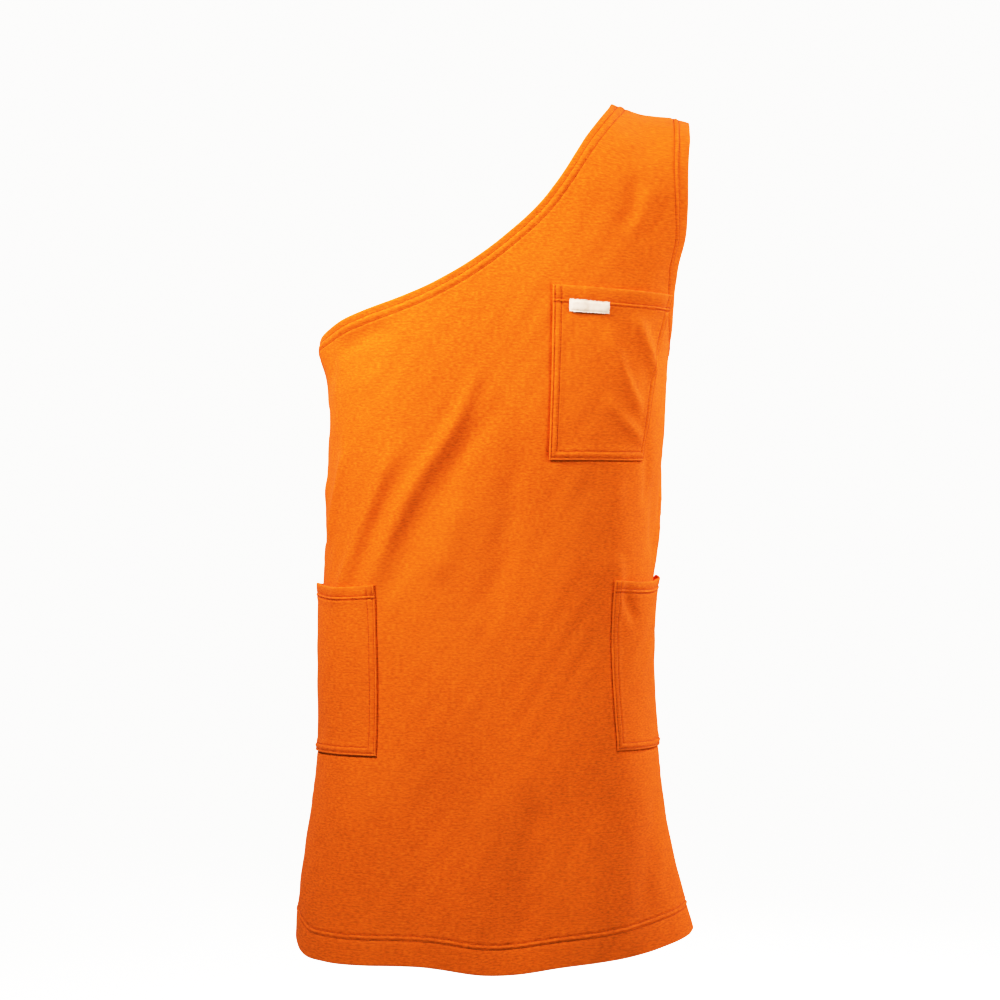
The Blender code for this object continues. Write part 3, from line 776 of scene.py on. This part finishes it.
def makeHem(panel, name):
    edge = edges[name]
    line = smoothLine(edge["places"], edgeStep)
    points, lifts = [], []
    for share in np.linspace(0, 1, hems["rows"]):
        depth = panels["roll"] + share * (edge["hem"] - panels["roll"])
        row = panelPart(beside(line, depth), panel)
        points.append(row)
        lift = hems["atEdge"] + smoothstep(3 * share) * (hems["atRaw"] - hems["atEdge"])
        lifts.append(np.full(len(row), lift))
    count = len(points[0])
    points, lifts = np.vstack(points), np.concatenate(lifts)
    places = laid(points, lifts)
    triangles = stripFaces(hems["rows"], count)
    # One triangle is tried, and all are turned round if it faces out of the cloth
    tried = triangles[len(triangles) // 4]
    a, b, c = places[tried]
    angle, drop = points[tried[0]] / (form["clothRadius"], 1)
    if np.cross(b - a, c - a) @ bodyNormal(angle, drop) > 0:
        triangles = triangles[:, ::-1]
    pieceName = panel + name.capitalize() + "Hem"
    return clothPiece(pieceName, places, triangles, points, hems["cloth"], finishes["hem"])


# Patch pockets, each by its corners: mouth low and high side, then foot high and low side, by
# their angles. Sag is how far the mouth's edge drops from straight, in millimetres, across it.
pockets = {
    "chest": {
        "node": "chest_pocket",
        "corners": ((20.6, 0.2225), (69.0, 0.218), (70.5, 0.364), (30.5, 0.364)),
        "gape": 0.0010,
        "mouthRows": (0.0106, 0.0136),
        "sideRows": (0.0022, 0.0078),
        "mouthHem": 0.0145,
        "turning": 0.0085,
        "sag": ((0, 0), (0.5, 0.8), (1, 0)),
        "bow": 0.0020,
    },
    "rightHip": {
        "node": "right_hip_pocket",
        "corners": ((139.5, 0.470), (209.0, 0.470), (207.5, 0.617), (137.5, 0.614)),
        "gape": 0.0040,
        "mouthRows": (0.0078, 0.0108),
        "sideRows": (0.0022, 0.0072),
        "mouthHem": 0.0120,
        "turning": 0.0080,
        "sag": ((0, 0), (0.25, 2.6), (0.48, 0.5), (0.75, 2.4), (1, 0)),
        "bow": 0.0,
    },
    "leftHip": {
        "node": "left_hip_pocket",
        "corners": ((-41.0, 0.468), (42.0, 0.466), (42.0, 0.610), (-40.0, 0.613)),
        "gape": 0.0042,
        "mouthRows": (0.0062, 0.0094),
        "sideRows": (0.0018, 0.0064),
        "mouthHem": 0.0120,
        "turning": 0.0080,
        "sag": ((0, 0), (0.25, 1.4), (0.5, -3.6), (0.75, 1.2), (1, 0)),
        "bow": 0.0,
    },
}
patch = {
    "cloth": 0.0007,
    "step": 0.0024,
    "roll": 0.0009,
    "double": 0.00195,  # outer face above the panel where the cloth is turned under
    "single": 0.00115,
    "easing": 0.0025,  # from double to single
    "lowest": 0.0002,  # outer face at the sewn edge
    "groove": 0.00075,
    "grooveWidth": 0.0009,
    "puff": 0.00050,
    "puffWidth": 0.3,
    "pull": (0.3, 0.0087, 0.0211),
    "sink": 0.00070,  # how far the panel is drawn in along a sewn edge
    "sinkAt": 0.0006,
    "sinkWidth": 0.0009,
    "sinkRows": (-0.0024, 0.0, 0.0009, 0.0018, 0.0030),  # mesh points beside that edge
    "rounding": (0, 0.0001, 0.0004, 0.0009),  # mesh points where that edge rounds off
    "inset": 0.0012,  # from an edge to the ends of the stitches and of the turned cloth
    "past": 0.0012,  # from the turned cloth's raw edge to the next mesh points
    "foldRows": (0.0012, 0.0035),  # mesh points below the mouth's fold
    "sewStep": 0.0015,
    "turned": (0.0005, 0.00015),  # the turned cloth's thickness, and its height above the panel
    "turnedRows": (0.0004, 0.004, 0.008),
    "turnedStep": 0.004,
    "stitchLift": 0.00010,
}


def pocketFlat(pocket, across, down):
    # Flat places of a pocket's points, by their shares of its width and depth
    mouthLow, mouthHigh, footHigh, footLow = flat(pocket["corners"])
    shares, sags = zip(*pocket["sag"])
    sag = 0.001 * through(shares, sags, across)
    mouth = mouthLow + across[:, None] * (mouthHigh - mouthLow)
    foot = footLow + across[:, None] * (footHigh - footLow)
    points = mouth + down[:, None] * (foot - mouth)
    points[:, 1] += sag * (1 - np.clip(down, 0, 1)) ** 2
    points[:, 0] += pocket["bow"] * np.sin(pi * np.clip(down, 0, 1)) * (1 - across)
    return points


def sewnEdge(pocket):
    # The pocket's low side, foot and high side as one line, with its outside on the line's left
    share = np.linspace(0, 1, 25)
    none, full = np.zeros(25), np.ones(25)
    low = pocketFlat(pocket, none, share)
    foot = pocketFlat(pocket, share, full)
    high = pocketFlat(pocket, full, share[::-1])
    return np.vstack([low[:-1], foot, high[1:]])


def pocketSink(points):
    # The panel is drawn in along the pockets' sewn edges
    lift = np.zeros(len(points))
    for pocket in pockets.values():
        distance = nearestOn(points, sewnEdge(pocket), wraps=True)[0]
        lift -= patch["sink"] * dip(distance - patch["sinkAt"], patch["sinkWidth"])
    return lift


def pocketSize(pocket):
    mouthLow, mouthHigh, footHigh, footLow = flat(pocket["corners"])
    width = (np.linalg.norm(mouthHigh - mouthLow) + np.linalg.norm(footHigh - footLow)) / 2
    depth = (np.linalg.norm(footLow - mouthLow) + np.linalg.norm(footHigh - mouthHigh)) / 2
    return width, depth


def pocketGape(pocket, across, down):
    return pocket["gape"] * (np.sin(pi * across) * np.clip(1 - down, 0, 1)) ** 1.5


def pocketRelief(pocket, aside, down):
    # The pocket's outer face above the panel, at distances from its low side and its mouth
    width, depth = pocketSize(pocket)
    fromSide, fromFoot = np.minimum(aside, width - aside), depth - down
    edge = np.minimum(fromSide, fromFoot)
    turned = 1 - smoothstep((edge - pocket["turning"]) / patch["easing"])
    hemmed = 1 - smoothstep((down - pocket["mouthHem"]) / patch["easing"])
    height = patch["single"] + (patch["double"] - patch["single"]) * np.maximum(turned, hemmed)
    along = aside + down
    share, short, long = patch["pull"]
    pull = 1 + share * np.sin(2 * pi * along / short) * np.sin(2 * pi * along / long)
    for rows, distance in ((pocket["sideRows"], edge), (pocket["mouthRows"], down)):
        for row in rows:
            height -= patch["groove"] * pull * dip(distance - row, patch["grooveWidth"])
        spread = patch["puffWidth"] * (rows[1] - rows[0])
        height += patch["puff"] * pull * dip(distance - sum(rows) / 2, spread)
    rounding = np.clip(1 - edge / patch["roll"], 0, 1)
    return patch["lowest"] + (height - patch["lowest"]) * np.sqrt(1 - rounding**2)


def pocketPlace(pocket, aside, down):
    # Places of a pocket's outer face. Those past its mouth go round the fold there.
    width, depth = pocketSize(pocket)
    across, share = aside / width, np.maximum(down, 0) / depth
    lift = pocketGape(pocket, across, share) + pocketRelief(pocket, aside, np.maximum(down, 0))
    points = pocketFlat(pocket, across, share)
    placed = laid(points, lift)
    past = np.flatnonzero(down < 0)
    if len(past):
        normal = bodyNormal(points[past, 0] / form["clothRadius"], points[past, 1])
        behind = laid(pocketFlat(pocket, across[past], share[past] + feel / depth), lift[past])
        inward = behind - placed[past]
        inward /= np.linalg.norm(inward, axis=1, keepdims=True)
        turn = -down[past, None] / patch["roll"]
        placed[past] += patch["roll"] * (normal * (np.cos(turn) - 1) - inward * np.sin(turn))
    return placed, points


def closeRows(length, nearStart, nearEnd, step):
    # Distances along a side: the given ones from each end, and even steps between
    start, end = sorted(nearStart), sorted(length - d for d in nearEnd)
    count = max(2, round((end[0] - start[-1]) / step))
    return np.array(start + list(np.linspace(start[-1], end[0], count + 1)[1:-1]) + end)


def aroundRows(rows):
    # Distances of the mesh points that draw two rows of stitches and the swell between them
    width = patch["grooveWidth"]
    return sorted(row + d for row in rows for d in (-width, 0, width)) + [sum(rows) / 2]


def pocketGrid(pocket):
    width, depth = pocketSize(pocket)
    toSide = [*patch["rounding"], *aroundRows(pocket["sideRows"]), pocket["turning"] + patch["past"]]
    toSide = sorted(set(toSide))
    mouth = [*aroundRows(pocket["mouthRows"]), pocket["mouthHem"] + patch["past"], *patch["foldRows"]]
    turns = [-pi * patch["roll"] * share for share in (1, 0.8, 0.6, 0.4, 0.2)]
    aside = closeRows(width, toSide, toSide, patch["step"])
    down = closeRows(depth, turns + [0] + sorted(mouth), toSide, patch["step"])
    return aside, down


def makePocket(name):
    pocket = pockets[name]
    width, depth = pocketSize(pocket)
    asides, downs = pocketGrid(pocket)
    downAll, asideAll = meshGrid(downs, asides)
    places, points = pocketPlace(pocket, asideAll, downAll)
    triangles = stripFaces(len(downs), len(asides))[:, ::-1]
    toSide = np.minimum(asideAll, width - asideAll)
    toEnd = np.minimum(depth - downAll, abs(downAll))
    wear = dip(np.minimum(toSide, toEnd), panels["wear"])
    made = (places, triangles, points, patch["cloth"], finishes["pocket"], wear)
    piece = clothPiece(name + "Pocket", *made)
    inset = patch["inset"]
    for row in pocket["sideRows"]:
        low, high, foot = row, width - row, depth - row
        sewPocket(pocket, ((low, inset), (low, foot), (high, foot), (high, inset)))
    for row in pocket["mouthRows"]:
        sewPocket(pocket, ((inset, row), (width - inset, row)))
    return piece


def sewPocket(pocket, corners):
    # One row of stitches through corners, each at its distances from the low side and the mouth
    corners = np.array(corners)
    sides = [straightLine(a, b, patch["sewStep"])[:-1] for a, b in zip(corners, corners[1:])]
    path = np.vstack([*sides, corners[-1:]])
    places, points = pocketPlace(pocket, path[:, 0], path[:, 1])
    ways = bodyNormal(points[:, 0] / form["clothRadius"], points[:, 1])
    addStitches(places + patch["stitchLift"] * ways, ways)


def makeTurning(name):
    # The pocket's cloth turned under at its sides and foot, and hemmed at its mouth
    pocket = pockets[name]
    width, depth = pocketSize(pocket)
    thickness, above = patch["turned"]
    toRaw = np.linspace(patch["inset"], pocket["turning"], 4)
    asides = closeRows(width, toRaw, toRaw, patch["turnedStep"])
    downs = closeRows(depth, [*patch["turnedRows"], pocket["mouthHem"]], toRaw, patch["turnedStep"])
    downAll, asideAll = meshGrid(downs, asides)
    points = pocketFlat(pocket, asideAll / width, downAll / depth)
    lift = pocketGape(pocket, asideAll / width, downAll / depth) + above
    places = laid(points, lift)
    triangles = stripFaces(len(downs), len(asides))
    middle = (asideAll[triangles].mean(axis=1), downAll[triangles].mean(axis=1))
    edge = np.minimum(np.minimum(middle[0], width - middle[0]), depth - middle[1])
    ring = (edge < pocket["turning"]) | (middle[1] < pocket["mouthHem"])
    made = (places, triangles[ring], points, -thickness, finishes["hem"])
    return clothPiece(name + "PocketTurning", *made)


# A blank woven label on the chest pocket's mouth hem, its corners in the pockets' order
label = {
    "size": (0.036, 0.0115),
    "corners": ((48.8, 0.2313), (63.0, 0.2289), (63.3, 0.2397), (49.0, 0.2412)),
    "cloth": 0.0004,
    "lift": 0.00100,
    "puff": 0.00040,
    "puffEdge": 0.003,
    "stitched": (0.0012, 0.0005),  # how far in its edge is sewn down, and how wide that dents it
    "fray": 0.00045,
    "across": 42,  # mesh points
    "down": 16,
    "seed": 3,
}


def makeLabel():
    pocket = pockets["chest"]
    chance = np.random.default_rng(label["seed"])
    lowTop, highTop, highFoot, lowFoot = flat(label["corners"])
    downs, acrosses = (np.linspace(0, 1, label[way]) for way in ("down", "across"))
    downAll, acrossAll = meshGrid(downs, acrosses)
    top = lowTop + acrossAll[:, None] * (highTop - lowTop)
    foot = lowFoot + acrossAll[:, None] * (highFoot - lowFoot)
    points = top + downAll[:, None] * (foot - top)
    ragged = (acrossAll == 0) | (acrossAll == 1) | (downAll == 0) | (downAll == 1)
    points[ragged] += chance.uniform(-1, 1, (ragged.sum(), 2)) * label["fray"]
    aside, down = onPocket(pocket, points)
    width, height = label["size"]
    toEnd = np.minimum(acrossAll, 1 - acrossAll) * width
    toSide = np.minimum(downAll, 1 - downAll) * height
    edge = np.minimum(toEnd, toSide)
    sewn, dented = label["stitched"]
    lift = pocketGape(pocket, aside / pocketSize(pocket)[0], down / pocketSize(pocket)[1])
    lift += patch["double"] + label["lift"]
    lift += label["puff"] * (smoothstep(edge / label["puffEdge"]) - dip(edge - sewn, dented))
    places = laid(points, lift)
    triangles = stripFaces(label["down"], label["across"])[:, ::-1]
    return clothPiece("blankLabel", places, triangles, points, label["cloth"], finishes["tape"])


def onPocket(pocket, points):
    # Distances of flat points from a pocket's low side and its mouth
    width, depth = pocketSize(pocket)
    mouthLow, mouthHigh, footHigh, footLow = flat(pocket["corners"])
    mouth, foot = (mouthLow[1] + mouthHigh[1]) / 2, (footLow[1] + footHigh[1]) / 2
    down = (points[:, 1] - mouth) / (foot - mouth)
    low = mouthLow[0] + down * (footLow[0] - mouthLow[0])
    high = mouthHigh[0] + down * (footHigh[0] - mouthHigh[0])
    return (points[:, 0] - low) / (high - low) * width, down * depth


# Rows of stitches. A tree's inputs carry the same names as these sizes, with a capital.
sewing = {
    "pitch": 0.0030,
    "length": 0.0024,
    "thread": 0.00042,
    "arch": 0.00022,
}


def stitchTree(material):
    tree = bpy.data.node_groups.new("rowsOfStitches", "GeometryNodeTree")
    tree.interface.new_socket("Rows", in_out="INPUT", socket_type="NodeSocketGeometry")
    for name in ("Pitch", "Length", "Thread", "Arch"):
        tree.interface.new_socket(name, in_out="INPUT", socket_type="NodeSocketFloat")
    tree.interface.new_socket("Stitches", in_out="OUTPUT", socket_type="NodeSocketGeometry")
    given = addNode(tree, "NodeGroupInput").outputs
    curves = addNode(tree, "GeometryNodeMeshToCurve", {"Mesh": given["Rows"]})
    inputs = {"Curve": curves.outputs[0], "Length": given["Pitch"]}
    spaced = addNode(tree, "GeometryNodeResampleCurve", inputs, mode="LENGTH")
    # One stitch: a short arc of thread, lying along X and arched to Z
    half = addNode(tree, "ShaderNodeMath", {0: given["Length"], 1: 0.5}, operation="MULTIPLY").outputs[0]
    back = addNode(tree, "ShaderNodeMath", {0: half, 1: -1.0}, operation="MULTIPLY").outputs[0]
    start = addNode(tree, "ShaderNodeCombineXYZ", {"X": back}).outputs[0]
    top = addNode(tree, "ShaderNodeCombineXYZ", {"Z": given["Arch"]}).outputs[0]
    end = addNode(tree, "ShaderNodeCombineXYZ", {"X": half}).outputs[0]
    inputs = {"Resolution": 3, "Start": start, "Middle": top, "End": end}
    arc = addNode(tree, "GeometryNodeCurveQuadraticBezier", inputs)
    radius = addNode(tree, "ShaderNodeMath", {0: given["Thread"], 1: 0.5}, operation="MULTIPLY").outputs[0]
    inputs = {"Resolution": 5, "Radius": radius}
    profile = addNode(tree, "GeometryNodeCurvePrimitiveCircle", inputs, mode="RADIUS")
    inputs = {"Curve": arc.outputs[0], "Profile Curve": profile.outputs[0], "Fill Caps": True}
    stitch = addNode(tree, "GeometryNodeCurveToMesh", inputs)
    # Each stitch is turned along its row, then round the row until it arches out of the cloth
    tangent = addNode(tree, "GeometryNodeInputTangent").outputs[0]
    settings = {"data_type": "FLOAT_VECTOR"}
    facing = addNode(tree, "GeometryNodeInputNamedAttribute", {"Name": "facing"}, **settings).outputs[0]
    alongRow = addNode(tree, "FunctionNodeAlignRotationToVector", {"Vector": tangent}, axis="X").outputs[0]
    inputs = {"Rotation": alongRow, "Vector": facing}
    settings = {"axis": "Z", "pivot_axis": "X"}
    outOfCloth = addNode(tree, "FunctionNodeAlignRotationToVector", inputs, **settings).outputs[0]
    inputs = {"Points": spaced.outputs[0], "Instance": stitch.outputs[0], "Rotation": outOfCloth}
    placed = addNode(tree, "GeometryNodeInstanceOnPoints", inputs)
    real = addNode(tree, "GeometryNodeRealizeInstances", {0: placed.outputs[0]})
    sewn = addNode(tree, "GeometryNodeSetMaterial", {"Geometry": real.outputs[0], "Material": material})
    addNode(tree, "NodeGroupOutput", {0: sewn.outputs[0]})
    return tree


def makeStitches():
    places = np.vstack([row for row, _ in stitchRows])
    ways = np.vstack([way for _, way in stitchRows])
    steps, first = [], 0
    for row, _ in stitchRows:
        steps += [(first + i, first + i + 1) for i in range(len(row) - 1)]
        first += len(row)
    mesh = bpy.data.meshes.new("stitchLines")
    mesh.from_pydata(places, steps, [])
    facing = mesh.attributes.new("facing", "FLOAT_VECTOR", "POINT")
    facing.data.foreach_set("vector", ways.astype(np.float32).ravel())
    lines = addObject("stitchLines", mesh)
    tree = stitchTree(finishes["thread"])
    nodes = lines.modifiers.new("sewing", "NODES")
    nodes.node_group = tree
    for socket in tree.interface.items_tree:
        if socket.in_out == "INPUT" and socket.name.lower() in sewing:
            nodes[socket.identifier] = sewing[socket.name.lower()]
    sewn = bpy.data.meshes.new_from_object(lines.evaluated_get(bpy.context.evaluated_depsgraph_get()))
    bpy.data.objects.remove(lines)
    sewn.shade_smooth()
    print("stitches:", len(sewn.polygons), "faces")
    return addObject("stitches", sewn)


for panel in ("front", "back"):
    piece = makePanel(panel)
    ready(piece, "jersey", panel)
    for name in edges:
        hem = makeHem(panel, name)
        ready(hem, "hem_jersey", panel + "_" + name + "_hem")
print("panels and hems made")

for name, pocket in pockets.items():
    piece = makePocket(name)
    ready(piece, "pocket_jersey", pocket["node"])
    turning = makeTurning(name)
    ready(turning, "hem_jersey", pocket["node"] + "_turning")
tag = makeLabel()
ready(tag, "label_tape", "label")
print("pockets and label made")

stitches = makeStitches()
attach(stitches, "root")


# Floor, light and camera
studio = {
    "floorHeight": -0.90,
    "reach": 4.5,  # half width of the paper
    "curve": 1.5,  # radius where its floor turns up into its wall
    "wall": 5.0,  # the wall's top above the floor
    "sides": 96,
    "shader": {"Base Color": "#C8C7C4", "Emission Color": "#F4F3F0", "Roughness": 0.9},
    "glow": 1.75,
    "daylight": 0.05,
    "white": 2.0,  # light that prints as white
    "print": (  # share of that light, and how bright it prints: a soft shoulder, as in a photograph
        (0.0, 0.0), (0.05, 0.066), (0.10, 0.150), (0.20, 0.340), (0.325, 0.600),
        (0.45, 0.770), (0.60, 0.890), (0.75, 0.955), (0.90, 0.988), (1.0, 1.0),
    ),
    "lights": (  # name, place, aim, size in metres, watts, spread in degrees
        ("leftLight", (-0.85, -0.60, 0.38), (-0.16, -0.05, -0.14), 0.4, 6.2, 95),
        ("keyLight", (-1.30, -0.95, 0.80), (-0.20, -0.05, -0.10), 0.5, 1.8, 50),
        ("fillLight", (0.95, -1.60, 0.65), (-0.12, -0.10, -0.15), 0.8, 1.7, 43),
        ("rightLight", (0.70, -0.30, 0.05), (0.00, -0.05, -0.25), 0.4, 6.0, 180),
        ("backLight", (1.20, 0.80, 0.55), (-0.12, 0.08, -0.30), 0.5, 14.0, 110),
        ("backRightLight", (-0.95, 1.10, 0.45), (-0.14, 0.05, -0.30), 0.5, 4.0, 110),
    ),
}


def makeStudio():
    # A wide bowl of pale paper, its floor and wall without an edge
    floor, reach, curve, sides = (studio[key] for key in ("floorHeight", "reach", "curve", "sides"))
    profile = [(0.0, floor), (1.0, floor), (2.0, floor), (reach - curve, floor)]
    for a in np.linspace(0, pi / 2, 17)[1:]:
        profile.append((reach - curve * (1 - np.sin(a)), floor + curve * (1 - np.cos(a))))
    profile.append((reach, floor + studio["wall"]))
    turns = np.linspace(0, 2 * pi, sides, endpoint=False)
    corners = [(r * np.cos(t), r * np.sin(t), z) for r, z in profile for t in turns]
    faces = []
    for first in range(0, (len(profile) - 1) * sides, sides):
        above = first + sides
        for i in range(sides):
            j = (i + 1) % sides
            faces.append((first + i, first + j, above + j, above + i))
    mesh = bpy.data.meshes.new("paperBowl")
    mesh.from_pydata(corners, [], faces)
    mesh.shade_smooth()
    material, tree, shader = newMaterial("mattPaper", studio["shader"])
    # The paper shows brighter than it lights the cloth, as if it had lamps of its own
    seen = addNode(tree, "ShaderNodeLightPath").outputs["Is Camera Ray"]
    glow = addNode(tree, "ShaderNodeMath", {0: seen, 1: studio["glow"]}, operation="MULTIPLY")
    tree.links.new(glow.outputs[0], shader.inputs["Emission Strength"])
    material.cycles.emission_sampling = "NONE"
    mesh.materials.append(material)
    addObject("paperBowl", mesh)


def softLight(name, place, aim, size, power, spread):
    lamp = bpy.data.lights.new(name, "AREA")
    lamp.shape = "DISK"
    lamp.size = size
    lamp.energy = power
    lamp.spread = radians(spread)
    light = addObject(name, lamp)
    light.location = place
    light.visible_camera = False
    light.rotation_euler = (Vector(aim) - Vector(place)).to_track_quat("-Z", "Y").to_euler()


def printCurve():
    display = bpy.context.scene.view_settings
    display.use_curve_mapping = True
    curve = display.curve_mapping.curves[3]  # the one for all three colours
    display.curve_mapping.white_level = (studio["white"],) * 3
    for point in studio["print"][1:-1]:
        curve.points.new(*point)
    display.curve_mapping.update()


view = {
    "place": (-0.132, -2.6, -0.334),  # level with the middle of the garment, straight in front
    "focal": 106.96,  # on a 36 mm sensor
}


def makeCamera():
    lens = bpy.data.cameras.new("camera")
    lens.lens = view["focal"]
    lens.sensor_width = 36
    camera = addObject("camera", lens)
    camera.location = view["place"]
    camera.rotation_euler = (radians(90), 0, 0)
    bpy.context.scene.camera = camera


makeStudio()
for lightRow in studio["lights"]:
    softLight(*lightRow)
world = bpy.data.worlds.new("studio")
world.use_nodes = True
world.node_tree.nodes["Background"].inputs["Color"].default_value = (1, 1, 1, 1)
world.node_tree.nodes["Background"].inputs["Strength"].default_value = studio["daylight"]
bpy.context.scene.world = world
bpy.context.scene.view_settings.view_transform = "Standard"
printCurve()
makeCamera()
print("studio ready")
